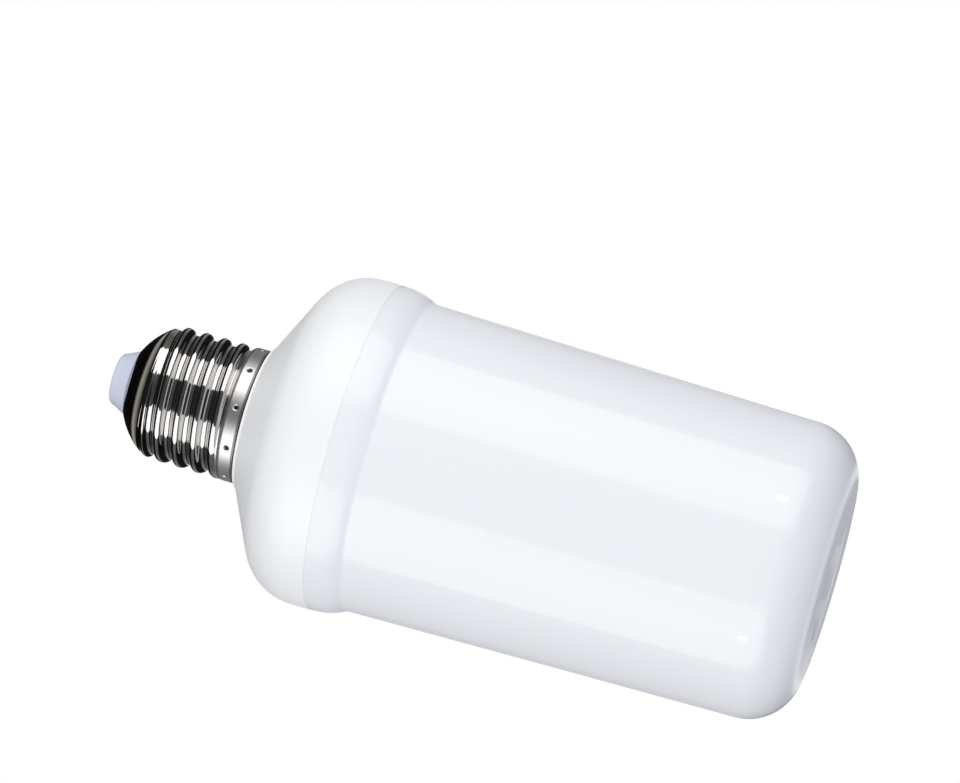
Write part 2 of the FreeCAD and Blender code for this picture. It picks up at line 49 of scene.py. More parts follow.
# Places that the CAD nodes give, in metres
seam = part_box("housing")[0].z
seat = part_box("screw_shell")[0].z
shell_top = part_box("screw_shell")[1].z
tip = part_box("cap_insulator")[1].z
contact_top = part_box("centre_contact")[1].z
pin_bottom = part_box("centre_contact")[0].z
lip_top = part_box("diffuser")[1].z
housing_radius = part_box("housing")[1].x
collar_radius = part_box("diffuser")[1].x

# Sizes of the cover, as in the CAD source
cover_end_radius = 28.54 * MM
cover_top_radius = 30.3 * MM
cover_wall_height = 86.2 * MM
cover_wall = 1.6 * MM
corner_radius = 10.1 * MM
pocket_radius = 10.9 * MM
pocket_depth = 2.0 * MM
pocket_edge = 0.4 * MM
collar_land = 1.0 * MM
collar_fillet = 1.5 * MM
lip_clearance = 0.15 * MM

# Points that keep the cover's flat faces flat, the first measured from the axis, the others from an edge
pocket_loop = 1.5 * MM
flat_margin = 1.0 * MM
ring_margin = 0.5 * MM

# Sizes of the housing
housing_wall = 1.7 * MM
skirt_height = 3.9 * MM
shoulder_radius = 11.0 * MM
cone_angle = math.radians(62.5)
seat_radius = 13.9 * MM
neck_radius = 12.75 * MM
neck_length = 2.8 * MM
neck_bore = 10.0 * MM
spigot_radius = 11.5 * MM
spigot_length = 11.0 * MM
edge_round = 0.15 * MM
seam_round = 0.02 * MM
skirt_margin = 3 * edge_round

# Sizes of the screw shell, with heights above its rim
sheet = 0.3 * MM
band_radius = 13.1 * MM
rim_radius = 13.4 * MM
rim_height = 0.8 * MM
thread_pitch = 3.629 * MM
thread_arc = 1.025 * MM
thread_start = 2.925 * MM
thread_end = 19.71 * MM
first_crest = 6.1 * MM
thread_run = 1.8 * MM
nose_radius = 12.2 * MM
nose_hole_radius = 6.45 * MM
punch_count = 10
punch_angle = math.radians(23.0)
punch_height = 1.85 * MM
punch_radius = 0.66 * MM
punch_depth = 0.5 * MM
punch_lip = 0.008 * MM
punch_lip_place = 1.15
punch_lip_spread = 0.22
rim_edge = 0.08 * MM
band_bend = 0.2 * MM
band_margin = 0.03 * MM
nose_hole_edge = 0.06 * MM

# Sizes of the insulator and the centre contact
insulator_height = 3.5 * MM
insulator_tip_radius = 5.05 * MM
insulator_edge = 0.8 * MM
insulator_flange_radius = 8.0 * MM
insulator_clearance = 0.05 * MM
contact_head_radius = 2.6 * MM
contact_pin_radius = 1.0 * MM
contact_edge = 0.15 * MM

# Fineness of the meshes, with the reach of the fine steps in radii of a staking mark
ROUND_SEGMENTS = 288
INSULATOR_SEGMENTS = 192
CONTACT_SEGMENTS = 128
MARK_STEPS = 18
PLAIN_STEPS = 25
MARK_REACH = 1.4
BAND_ROWS = 18
THREAD_ROWS = 124
INNER_ROWS = 30
ON_AXIS = 1e-7
SHARP_ANGLE = math.radians(50)

# Where the satin zone and each painted shade fade out, from and to: above the thread's start,
# above the shell's rim, in radii of a staking mark, and beyond the pocket's radius
SATIN_ABOVE_START = (0.6 * MM, 1.3 * MM)
SHADE_ABOVE_RIM = (0.3 * MM, 0.5 * MM)
SHADE_IN_MARK = (0.4, 0.8)
SHADE_ROUND_POCKET = (-0.3 * MM, 0.1 * MM)

# How far every skin's gloss varies, and how deep its relief is
GLOSS_SPREAD = 0.15
RELIEF_DEPTH = 0.1 * MM

# The photograph's view
IMAGE_WIDTH = 960
IMAGE_HEIGHT = 783
FOCAL_PX = 5022.0
SENSOR_MM = 36.0
AXIS_POINT_PX = (484.44, 484.68)
AXIS_POINT_HEIGHT = 67.7 * MM
AXIS_POINT_DEPTH = 0.95
AXIS_TILT = math.radians(16.18)
AXIS_LEAN = math.radians(8.3)
CLIP_START = 0.01
CLIP_END = 20.0

# Lights as azimuth and elevation in degrees, distance, width, height, radiance, and whether glossy skins
# mirror them
LIGHTS = {
    "upper_fill": (50.0, 12.0, 0.8, 0.8, 1.1, 1.55, False),
    "lower_fill": (-50.0, 2.0, 0.8, 0.8, 1.1, 1.46, False),
    "upper_softbox": (57.0, 4.0, 0.8, 0.8, 1.1, 1.8, True),
    "lower_softbox": (-57.0, 4.0, 0.8, 0.8, 1.1, 1.74, True),
    "upper_back_fill": (105.0, 32.0, 0.8, 0.5, 1.1, 0.41, False),
    "lower_back_fill": (-115.0, 35.0, 0.8, 0.5, 1.1, 0.17, False),
    "back_fill": (180.0, 10.0, 0.8, 0.7, 0.8, 0.9, False),
    "upper_lamp": (54.0, -3.0, 0.78, 0.05, 0.02, 6.0, True),
    "lower_lamp": (-56.0, -3.0, 0.78, 0.05, 0.02, 6.0, True),
}

# The floor, with the distances from the bulb between which it fades
FLOOR_HALF = 2.0
FLOOR_FADE = (0.1, 0.7)
FLOOR_SHADES = (0.8, 0.84)
FLOOR_MOTTLE = 3.0
FLOOR_ROUGHNESS = 0.8

# Room brightness in reflections, by a direction's share of the Y axis, which runs away from the camera
REFLECTED_DEPTH = (
    (-1.0, (0.07, 0.07, 0.07)),
    (-0.95, (0.09, 0.09, 0.09)),
    (-0.86, (0.1, 0.1, 0.1)),
    (-0.8, (0.25, 0.25, 0.25)),
    (-0.65, (0.5, 0.5, 0.5)),
    (-0.3, (0.55, 0.55, 0.55)),
    (0.0, (0.2, 0.2, 0.2)),
    (0.5, (0.15, 0.15, 0.15)),
    (0.8, (0.3, 0.3, 0.3)),
    (0.94, (0.3, 0.3, 0.3)),
    (0.98, (0.72, 0.74, 0.78)),
    (1.0, (0.76, 0.78, 0.82)),
)

# The share of that which shows, by the tilt of the skin that mirrors it to the camera, as the sine of the
# angle above the horizon
MIRRORED_SHARE = (
    (-1.0, (0.04, 0.04, 0.04)),
    (-0.46, (0.04, 0.04, 0.04)),
    (-0.27, (0.9, 0.9, 0.9)),
    (-0.16, (1.0, 1.0, 1.0)),
    (0.07, (1.0, 1.0, 1.0)),
    (0.2, (0.04, 0.04, 0.04)),
    (1.0, (0.02, 0.02, 0.02)),
)

# Brightness that the reflections have at least, by the same tilt
MIRRORED_GLOW = (
    (-1.0, (0.32, 0.33, 0.36)),
    (-0.992, (0.32, 0.33, 0.36)),
    (-0.98, (1.0, 1.0, 1.0)),
    (-0.955, (1.0, 1.0, 1.0)),
    (-0.92, (0.25, 0.26, 0.29)),
    (-0.82, (0.0, 0.0, 0.0)),
    (0.605, (0.0, 0.0, 0.0)),
    (0.635, (0.25, 0.235, 0.21)),
    (0.675, (0.55, 0.52, 0.475)),
    (0.705, (0.0, 0.0, 0.0)),
    (1.0, (0.0, 0.0, 0.0)),
)

# Room brightness on matt skins, by a direction's share of the axes
ROOM_HEIGHT = (
    (-1.0, (0.7, 0.71, 0.77)),
    (-0.2, (0.46, 0.47, 0.49)),
    (0.2, (0.49, 0.5, 0.51)),
    (1.0, (0.44, 0.445, 0.46)),
)
ROOM_DEPTH = (
    (-1.0, (1.0, 1.0, 1.0)),
    (0.0, (1.0, 1.0, 1.0)),
    (0.35, (1.08, 1.085, 1.12)),
    (1.0, (1.04, 1.045, 1.1)),
)


# Outlines, as (radius, height) points


def arc(centre, radius, start, end, count):
    """Points on a circle, with angles in radians from the radius direction."""
    points = []
    for index in range(count + 1):
        angle = start + (end - start) * index / count
        points.append((centre[0] + radius * math.cos(angle), centre[1] + radius * math.sin(angle)))
    return points


def line(start, end, count):
    """Points from start to end, both included."""
    return [(start[0] + (end[0] - start[0]) * index / count, start[1] + (end[1] - start[1]) * index / count)
            for index in range(count + 1)]


def rounded(before, corner, after, radius, count=4):
    """Points of a small arc that replaces a corner of an outline."""
    here = Vector(corner)
    back = (Vector(before) - here).normalized()
    ahead = (Vector(after) - here).normalized()
    half = math.acos(max(-1.0, min(1.0, back.dot(ahead)))) / 2
    trim = radius / math.tan(half)
    centre = here + (back + ahead).normalized() * (radius / math.sin(half))
    first = here + back * trim - centre
    last = here + ahead * trim - centre
    start = math.atan2(first.y, first.x)
    turn = math.atan2(first.x * last.y - first.y * last.x, first.dot(last))
    return arc(centre, radius, start, start + turn, count)


# Meshes


def add_piece(name, vertices, faces, material, node):
    """Makes a smooth piece that rides on the part's one body and stands for a CAD node."""
    mesh = bpy.data.meshes.new(name)
    mesh.from_pydata(vertices, [], faces)
    mesh.polygons.foreach_set("use_smooth", [True] * len(mesh.polygons))
    mesh.set_sharp_from_angle(angle=SHARP_ANGLE)
    mesh.materials.append(material)
    mesh.validate()
    piece = bpy.data.objects.new(name, mesh)
    bpy.context.scene.collection.objects.link(piece)
    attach(piece, "root")
    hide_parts(node)


def skin(rings):
    """Vertices and faces of a closed surface through rings of equal count. A ring of one point is a pole."""
    vertices = []
    starts = []
    for ring in rings:
        starts.append(len(vertices))
        vertices.extend(ring)
    faces = []
    for index, ring in enumerate(rings):
        after = (index + 1) % len(rings)
        a, b = starts[index], starts[after]
        lower, upper = len(ring), len(rings[after])
        count = max(lower, upper)
        if count == 1:
            continue
        for step in range(count):
            right = (step + 1) % count
            if lower == 1:
                faces.append((a, b + right, b + step))
            elif upper == 1:
                faces.append((a + step, a + right, b))
            else:
                faces.append((a + step, a + right, b + right, b + step))
    return vertices, faces


def turned(outline, segments=ROUND_SEGMENTS):
    """Surface of revolution of a closed outline that runs anticlockwise, outside first."""
    rings = []
    for radius, height in outline:
        if radius < ON_AXIS:
            rings.append([(0.0, 0.0, height)])
            continue
        angles = [2 * math.pi * step / segments for step in range(segments)]
        rings.append([(radius * math.cos(angle), radius * math.sin(angle), height) for angle in angles])
    return skin(rings)


# Cover


def cover_outline():
    """Frosted cover, from the middle of the pocket up its outside and back down its inside."""
    taper = (cover_top_radius - cover_end_radius) / cover_wall_height
    lean = math.atan(taper)
    centre = (cover_end_radius + corner_radius * (taper - 1 / math.cos(lean)), corner_radius)
    inset = collar_radius - cover_top_radius
    drop = seam - collar_land - cover_wall_height
    collar_arc = (drop**2 + inset**2) / (2 * inset)
    collar_centre = (collar_radius - collar_arc, seam - collar_land)
    collar_angle = math.asin(drop / collar_arc)
    lip_outer = housing_radius - housing_wall - lip_clearance
    wall_top = (cover_top_radius, cover_wall_height)
    collar_foot = arc(collar_centre, collar_arc, -collar_angle, 0, count=16)
    wall_foot = (centre[0] + corner_radius * math.cos(lean), centre[1] - corner_radius * math.sin(lean))
    fillet = rounded(wall_foot, wall_top, collar_foot[2], collar_fillet, count=6)
    outside = [(0.0, pocket_depth)]
    outside += line((pocket_loop, pocket_depth), (pocket_radius - flat_margin, pocket_depth), count=4)
    outside += rounded((0.0, pocket_depth), (pocket_radius, pocket_depth), (pocket_radius, 0.0), pocket_edge)
    outside += rounded((pocket_radius, pocket_depth), (pocket_radius, 0.0), (centre[0], 0.0), pocket_edge)
    outside += line((pocket_radius + flat_margin, 0.0), (centre[0] - ring_margin, 0.0), count=4)
    outside += arc(centre, corner_radius, -math.pi / 2, -lean, count=28)
    outside += line(wall_foot, fillet[0], count=24)[1:-1]
    outside += fillet
    outside += collar_foot[3:]
    outside += rounded(collar_foot[-1], (collar_radius, seam), (lip_outer, seam), seam_round)
    outside += [(lip_outer, seam), (lip_outer, lip_top)]
    shift = cover_wall / math.cos(lean)
    inner_corner = corner_radius - cover_wall
    inside = [(cover_end_radius + taper * lip_top - shift, lip_top)]
    inside += arc(centre, inner_corner, -lean, -math.pi / 2, count=16)
    inside += [
        (pocket_radius + cover_wall, cover_wall),
        (pocket_radius + cover_wall, pocket_depth + cover_wall),
        (0.0, pocket_depth + cover_wall),
    ]
    return outside + inside


# Housing


def housing_outline():
    """Funnel of the housing, from the seam up its outside to the neck, and down its inside."""
    centre = (housing_radius - shoulder_radius, seam + skirt_height)
    inner = shoulder_radius - housing_wall

    def cone_height(radius, offset):
        from_arc = (centre[0] + offset * math.cos(cone_angle), centre[1] + offset * math.sin(cone_angle))
        return from_arc[1] + (from_arc[0] - radius) / math.tan(cone_angle)

    skirt_inner = housing_radius - housing_wall
    cone_foot = (seat_radius, cone_height(seat_radius, shoulder_radius))
    outer_arc = arc(centre, shoulder_radius, 0, cone_angle, count=24)
    outside = rounded((skirt_inner, seam), (housing_radius, seam), (housing_radius, centre[1]), seam_round)
    outside += line((housing_radius, seam + skirt_margin), outer_arc[0], count=4)[:-1]
    outside += outer_arc
    outside += line(outer_arc[-1], cone_foot, count=16)[1:-1]
    outside += rounded(outer_arc[-1], cone_foot, (seat_radius, seat), edge_round)
    outside += rounded(cone_foot, (seat_radius, seat), (neck_radius, seat), edge_round)
    outside += [
        (neck_radius, seat),
        (neck_radius, seat + neck_length),
        (spigot_radius, seat + neck_length),
        (spigot_radius, seat + spigot_length),
        (neck_bore, seat + spigot_length),
        (neck_bore, cone_height(neck_bore, inner)),
    ]
    inside = arc(centre, inner, cone_angle, 0, count=16) + [(skirt_inner, seam)]
    return outside + inside


# Screw shell


def thread_radius(rise, depth):
    """Radius of the rolled thread at a height above a crest, a depth inside the outer face."""
    root_radius = band_radius - 2 * thread_arc * (1 - math.cos(math.asin(thread_pitch / 4 / thread_arc)))
    along = abs((rise + thread_pitch / 2) % thread_pitch - thread_pitch / 2)
    crest = thread_arc - depth
    root = thread_arc + depth
    if along <= crest * thread_pitch / 4 / thread_arc:
        return band_radius - thread_arc + math.sqrt(crest**2 - along**2)
    return root_radius + thread_arc - math.sqrt(root**2 - (thread_pitch / 2 - along)**2)


def eased(low, high, value):
    """Smooth step from 0 at low to 1 at high."""
    share = min(1.0, max(0.0, (value - low) / (high - low)))
    return share * share * (3 - 2 * share)


def shell_radius(turn, height, depth):
    """Radius of the shell at a turn and a height, with the thread grown in and faded out."""
    rolled = thread_radius(height - first_crest - thread_pitch * turn, depth)
    rise = eased(thread_start, thread_start + thread_run, height)
    fall = eased(thread_end - thread_run, thread_end, height)
    grown = band_radius - depth + (rolled - band_radius + depth) * rise
    return grown + (nose_radius - depth - grown) * fall


def punch_mark(angle, height):
    """How far the staking marks push the band in at a place, with the lip of metal round each."""
    spacing = 2 * math.pi / punch_count
    nearest = round((angle - punch_angle) / spacing) * spacing + punch_angle
    away = math.hypot((angle - nearest) * band_radius, height - punch_height) / punch_radius
    pit = punch_depth * (1 - eased(0.0, 1.0, away))
    lip = punch_lip * math.exp(-((away - punch_lip_place) / punch_lip_spread)**2)
    return pit - lip


def shell_angles():
    """Angles round the shell, closer together at the staking marks."""
    spacing = 2 * math.pi / punch_count
    near = MARK_REACH * punch_radius / band_radius
    angles = []
    for index in range(punch_count):
        centre = punch_angle + index * spacing
        angles += [centre - near + 2 * near * step / MARK_STEPS for step in range(MARK_STEPS)]
        angles += [centre + near + (spacing - 2 * near) * step / PLAIN_STEPS for step in range(PLAIN_STEPS)]
    return angles


def nose_circle():
    """Centre height and radius of the sphere that the nose is part of."""
    base = seat + thread_end
    rise = shell_top - base
    drop = (nose_radius**2 - nose_hole_radius**2 - rise**2) / (2 * rise)
    return base - drop, math.hypot(nose_radius, drop)


def shell_mesh():
    """Screw shell, ring by ring from its rim up the outside to the nose, and back down the inside."""
    angles = shell_angles()

    def ring(radius_at, height):
        points = []
        for angle in angles:
            radius = radius_at(angle)
            points.append((radius * math.cos(angle), radius * math.sin(angle), seat + height))
        return points

    def plain(radius, height):
        return ring(lambda angle: radius, height)

    def wall(height, depth):
        return ring(lambda angle: shell_radius(angle / (2 * math.pi), height, depth), height)

    def band(height):
        return ring(lambda angle: band_radius - punch_mark(angle, height), height)

    flare = rounded((rim_radius - sheet, 0.0), (rim_radius, 0.0), (band_radius, rim_height), rim_edge)
    bend = rounded((rim_radius, 0.0), (band_radius, rim_height), (band_radius, thread_start), band_bend,
                   count=5)
    outer = [plain(*point) for point in flare + bend]
    band_low = bend[-1][1] + band_margin
    outer += [band(band_low + (thread_start - band_low) * row / BAND_ROWS) for row in range(BAND_ROWS)]
    outer += [wall(thread_start + (thread_end - thread_start) * row / THREAD_ROWS, 0.0)
              for row in range(THREAD_ROWS + 1)]
    centre, radius = nose_circle()
    low = math.asin((seat + thread_end - centre) / radius)
    high = math.acos(nose_hole_radius / radius)
    dome = arc((0.0, centre - seat), radius, low, high, count=22)[1:]
    inner_high = math.acos(nose_hole_radius / (radius - sheet))
    inner_dome = arc((0.0, centre - seat), radius - sheet, inner_high, low, count=6)
    outer += [plain(*point) for point in dome[:-1]]
    outer += [plain(*point) for point in rounded(dome[-2], dome[-1], inner_dome[0], nose_hole_edge)]
    inner = [plain(*point) for point in inner_dome[:-1]]
    inner += [wall(thread_end - (thread_end - thread_start) * row / INNER_ROWS, sheet)
              for row in range(INNER_ROWS + 1)]
    inner += [plain(band_radius - sheet, rim_height), plain(rim_radius - sheet, 0.0)]
    return skin(outer + inner)


# Insulator and contact


def insulator_outline():
    """Insulator with its flange under the nose, its tapered tip and the bore for the contact's pin."""
    centre, radius = nose_circle()
    throat = nose_hole_radius - insulator_clearance
    flange_top = centre + math.sqrt((radius - sheet)**2 - insulator_flange_radius**2) - insulator_clearance
    flange_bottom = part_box("cap_insulator")[0].z
    bore = contact_pin_radius + insulator_clearance
    shoulder = (throat, tip - insulator_height)
    edge_centre = (insulator_tip_radius - insulator_edge, tip - insulator_edge)
    lean = math.atan2(throat - insulator_tip_radius, edge_centre[1] - shoulder[1])
    outline = [(insulator_flange_radius, flange_bottom), (insulator_flange_radius, flange_top)]
    outline += [(throat, flange_top)]
    outline += line(shoulder, (insulator_tip_radius, edge_centre[1]), count=8)[:-1]
    outline += arc(edge_centre, insulator_edge, lean / 2, math.pi / 2, count=12)
    outline += line((insulator_tip_radius - insulator_edge, tip), (bore, tip), count=6)[1:]
    outline += [(bore, flange_bottom)]
    return outline


def contact_outline():
    """Contact with its pin in the insulator's bore and its low head on the tip."""
    top = contact_top
    foot = (contact_pin_radius, tip)
    low_edge = (contact_head_radius, tip)
    high_edge = (contact_head_radius, top)
    outline = [(0.0, pin_bottom), (contact_pin_radius, pin_bottom), foot]
    outline += rounded(foot, low_edge, high_edge, contact_edge)
    outline += rounded(low_edge, high_edge, (0.0, top), contact_edge)
    return outline + [(contact_head_radius / 2, top), (0.0, top)]


# Materials


def surface(name, color, roughness, metallic=0.0, coat=0.0, coat_roughness=0.03, grain=600.0, mottle=40.0,
            shade=0.04, bump=0.02, stretch=(1.0, 1.0, 1.0)):
    """Procedural material: a coarse noise varies its colour and gloss, and a fine one roughens its skin."""
    material = bpy.data.materials.new(name)
    material.use_nodes = True
    tree = material.node_tree
    shader = tree.nodes["Principled BSDF"]
    shader.inputs["Metallic"].default_value = metallic
    shader.inputs["Coat Weight"].default_value = coat
    shader.inputs["Coat Roughness"].default_value = coat_roughness
    place = tree.nodes.new("ShaderNodeTexCoord")
    scale = tree.nodes.new("ShaderNodeMapping")
    scale.inputs["Scale"].default_value = stretch
    tree.links.new(place.outputs["Object"], scale.inputs["Vector"])

    def noise(size, detail):
        node = tree.nodes.new("ShaderNodeTexNoise")
        node.inputs["Scale"].default_value = size
        node.inputs["Detail"].default_value = detail
        tree.links.new(scale.outputs["Vector"], node.inputs["Vector"])
        return node

    patches = noise(mottle, detail=3.0)
    grains = noise(grain, detail=2.0)
    mix = tree.nodes.new("ShaderNodeMix")
    mix.data_type = "RGBA"
    mix.inputs["A"].default_value = (*[channel * (1 - shade) for channel in color], 1.0)
    mix.inputs["B"].default_value = (*[min(1.0, channel * (1 + shade)) for channel in color], 1.0)
    tree.links.new(patches.outputs["Fac"], mix.inputs["Factor"])
    tree.links.new(mix.outputs["Result"], shader.inputs["Base Color"])
    gloss = tree.nodes.new("ShaderNodeMapRange")
    gloss.inputs["To Min"].default_value = roughness * (1 - GLOSS_SPREAD)
    gloss.inputs["To Max"].default_value = roughness * (1 + GLOSS_SPREAD)
    tree.links.new(patches.outputs["Fac"], gloss.inputs["Value"])
    tree.links.new(gloss.outputs["Result"], shader.inputs["Roughness"])
    relief = tree.nodes.new("ShaderNodeBump")
    relief.inputs["Strength"].default_value = bump
    relief.inputs["Distance"].default_value = RELIEF_DEPTH
    tree.links.new(grains.outputs["Fac"], relief.inputs["Height"])
    tree.links.new(relief.outputs["Normal"], shader.inputs["Normal"])
    return material


def calculated(tree, operation, *values):
    """Result of a math node on numbers and sockets."""
    node = tree.nodes.new("ShaderNodeMath")
    node.operation = operation
    for socket, value in zip(node.inputs, values):
        if isinstance(value, float):
            socket.default_value = value
        else:
            tree.links.new(value, socket)
    return node.outputs["Value"]


def length_of(tree, *parts):
    """Length of the vector whose parts are the given sockets."""
    joined = tree.nodes.new("ShaderNodeCombineXYZ")
    for socket, value in zip(joined.inputs, parts):
        tree.links.new(value, socket)
    length = tree.nodes.new("ShaderNodeVectorMath")
    length.operation = "LENGTH"
    tree.links.new(joined.outputs["Vector"], length.inputs[0])
    return length.outputs["Value"]


def place_in(tree):
    """Sockets X, Y and Z of the place on the part."""
    place = tree.nodes.new("ShaderNodeTexCoord")
    axes = tree.nodes.new("ShaderNodeSeparateXYZ")
    tree.links.new(place.outputs["Object"], axes.inputs["Vector"])
    return axes.outputs


def away_from_mark(tree):
    """Distance along the band from the middle of the nearest staking mark."""
    x, y, z = place_in(tree)
    spacing = 2 * math.pi / punch_count
    turns = calculated(tree, "MULTIPLY_ADD", calculated(tree, "ARCTAN2", y, x), 1.0 / spacing,
                       -punch_angle / spacing)
    across = calculated(tree, "SUBTRACT", turns, calculated(tree, "ROUND", turns))
    along = calculated(tree, "SUBTRACT", z, seat + punch_height)
    return length_of(tree, calculated(tree, "MULTIPLY", across, spacing * band_radius), along)


# Gives the shell's satin band, and paints shade at its rim, in its staking marks and in the cover's pocket
def satin_and_painted_shade(material, distance, start, end, share, roughness):
    """Scales a material's colour and sets its roughness up to a distance, and fades both out to the end."""
    tree = material.node_tree
    shader = tree.nodes["Principled BSDF"]
    mask = tree.nodes.new("ShaderNodeMapRange")
    mask.inputs["From Min"].default_value = start
    mask.inputs["From Max"].default_value = end
    mask.inputs["To Min"].default_value = 1.0
    mask.inputs["To Max"].default_value = 0.0
    tree.links.new(distance, mask.inputs["Value"])
    shades = (("Base Color", "RGBA", "MULTIPLY", (share, share, share, 1.0)),
              ("Roughness", "FLOAT", "MIX", roughness))
    for socket, kind, blend, value in shades:
        mix = tree.nodes.new("ShaderNodeMix")
        mix.data_type = kind
        mix.blend_type = blend
        source = shader.inputs[socket].links[0].from_socket
        inputs = [each for each in mix.inputs if each.enabled]
        outputs = [each for each in mix.outputs if each.enabled]
        tree.links.new(mask.outputs["Result"], inputs[0])
        tree.links.new(source, inputs[1])
        inputs[2].default_value = value
        tree.links.new(outputs[0], shader.inputs[socket])


def make_materials():
    """Materials by slot. The shell has a satin band; painted shade darkens its rim, its marks and the
    cover's rougher pocket.
    """
    nickel = surface("nickel_plate", (0.52, 0.51, 0.5), 0.06, metallic=1.0, grain=900.0, mottle=150.0,
                     shade=0.05, bump=0.03, stretch=(1.0, 1.0, 4.0))
    height = place_in(nickel.node_tree)["Z"]
    mark = away_from_mark(nickel.node_tree)
    satin_low, satin_high = (seat + thread_start + above for above in SATIN_ABOVE_START)
    satin_and_painted_shade(nickel, height, satin_low, satin_high, share=1.3, roughness=0.39)
    # Painted shade: the shell's colour is darkened just above its rim, in the gap where it meets the housing
    satin_and_painted_shade(nickel, height, *(seat + above for above in SHADE_ABOVE_RIM), share=0.1, roughness=0.5)
    # Painted shade: the middles of the staking marks are darkened, for the shade in the pits
    satin_and_painted_shade(nickel, mark, *(part * punch_radius for part in SHADE_IN_MARK), share=0.06, roughness=0.5)
    frosted = surface("frosted_cover", (0.81, 0.818, 0.84), 0.6, coat=0.63, coat_roughness=0.03, mottle=30.0,
                      shade=0.008, bump=0.01)
    x, y, _ = place_in(frosted.node_tree)
    # Painted shade: the cover's colour is darkened inside the pocket, which is also made rougher
    satin_and_painted_shade(frosted, length_of(frosted.node_tree, x, y),
           *(pocket_radius + beyond for beyond in SHADE_ROUND_POCKET), share=0.62, roughness=0.7)
    return {
        "cap_nickel": nickel,
        "contact_tin": surface("tinned_contact", (0.75, 0.75, 0.77), 0.3, metallic=1.0, grain=1500.0,
                               bump=0.1),
        "cap_plastic": surface("pale_insulator", (0.6, 0.64, 0.76), 0.35, coat=0.3, coat_roughness=0.15,
                               mottle=90.0, shade=0.02),
        "housing_white": surface("white_housing", (0.855, 0.86, 0.867), 0.5, coat=0.2, coat_roughness=0.35,
                                 mottle=60.0, shade=0.01, bump=0.03),
        "frosted_cover": frosted,
        "former_white": surface("former_plastic", (0.78, 0.78, 0.76), 0.5),
        "screw_zinc": surface("zinc_screws", (0.68, 0.69, 0.72), 0.3, metallic=1.0, grain=2000.0, bump=0.08),
        "board_white": surface("white_solder_mask", (0.82, 0.82, 0.77), 0.45, grain=1200.0, bump=0.06),
        "board_green": surface("green_solder_mask", (0.03, 0.2, 0.08), 0.35, grain=900.0, shade=0.12,
                               bump=0.08),
        "phosphor": surface("yellow_phosphor", (0.85, 0.62, 0.1), 0.4, shade=0.06),
        "chip_black": surface("moulded_package", (0.022, 0.022, 0.024), 0.45, grain=2500.0, bump=0.15),
        "can_sleeve": surface("capacitor_sleeve", (0.02, 0.02, 0.035), 0.28, coat=0.4),
        "film_brown": surface("dipped_epoxy", (0.25, 0.07, 0.03), 0.3, coat=0.5, shade=0.1),
        "ferrite": surface("ferrite", (0.06, 0.06, 0.065), 0.55, grain=3000.0, bump=0.2),
        "copper": surface("enamelled_copper", (0.72, 0.32, 0.14), 0.25, metallic=1.0, grain=300.0, bump=0.4,
                          stretch=(1.0, 12.0, 1.0)),
        "fuse_green": surface("resistor_lacquer", (0.09, 0.28, 0.15), 0.3, coat=0.4),
        "wire_red": surface("red_insulation", (0.5, 0.02, 0.02), 0.35),
        "wire_black": surface("black_insulation", (0.015, 0.015, 0.015), 0.35),
        "wire_blue": surface("blue_insulation", (0.02, 0.06, 0.4), 0.35),
    }


def dress_frame(materials):
    """Gives each CAD node the material of its slot."""
    for row in frame["record"]["subparts"]:
        node = frame["nodes"][row["node"]]
        node.data.materials.clear()
        node.data.materials.append(materials[row["material_slot"]])


def make_pieces(materials):
    """The five pieces that show, each in place of its CAD node."""
    rows = (
        ("cover", turned(cover_outline()), "diffuser", "frosted_cover"),
        ("white_body", turned(housing_outline()), "housing", "housing_white"),
        ("rolled_shell", shell_mesh(), "screw_shell", "cap_nickel"),
        ("nose_insulator", turned(insulator_outline(), INSULATOR_SEGMENTS), "cap_insulator", "cap_plastic"),
        ("tip_contact", turned(contact_outline(), CONTACT_SEGMENTS), "centre_contact", "contact_tin"),
    )
    for name, (vertices, faces), node, slot in rows:
        add_piece(name, vertices, faces, materials[slot], node)


# Studio


def make_camera():
    """Camera at the photograph's view: it is set by where the bulb's axis lies in the picture."""
    along = Vector((math.cos(AXIS_TILT), math.sin(AXIS_TILT), 0.0))
    across = Vector((-math.sin(AXIS_TILT), math.cos(AXIS_TILT), 0.0))
    offset = Vector((AXIS_POINT_PX[0] - IMAGE_WIDTH / 2, AXIS_POINT_PX[1] - IMAGE_HEIGHT / 2, 0.0))
    sideways = math.sin(AXIS_LEAN) * offset.dot(across) / FOCAL_PX
    towards = Vector((0.0, 0.0, math.sin(AXIS_LEAN)))
    axis = (towards - math.cos(AXIS_LEAN) * along + sideways * across).normalized()
    x_axis = (-across + across.dot(axis) * axis).normalized()
    y_axis = axis.cross(x_axis)
    to_part = Matrix((x_axis, y_axis, axis))
    point = (offset / FOCAL_PX + Vector((0.0, 0.0, 1.0))) * AXIS_POINT_DEPTH
    right = to_part @ Vector((1.0, 0.0, 0.0))
    up = to_part @ Vector((0.0, -1.0, 0.0))
    back = to_part @ Vector((0.0, 0.0, -1.0))
    place = Matrix((right, up, back)).transposed().to_4x4()
    place.translation = Vector((0.0, 0.0, AXIS_POINT_HEIGHT)) - to_part @ point
    data = bpy.data.cameras.new("camera")
    data.sensor_fit = "HORIZONTAL"
    data.sensor_width = SENSOR_MM
    data.lens = FOCAL_PX * SENSOR_MM / IMAGE_WIDTH
    data.clip_start = CLIP_START
    data.clip_end = CLIP_END
    camera = bpy.data.objects.new("camera", data)
    camera.matrix_world = place
    bpy.context.scene.collection.objects.link(camera)
    bpy.context.scene.camera = camera


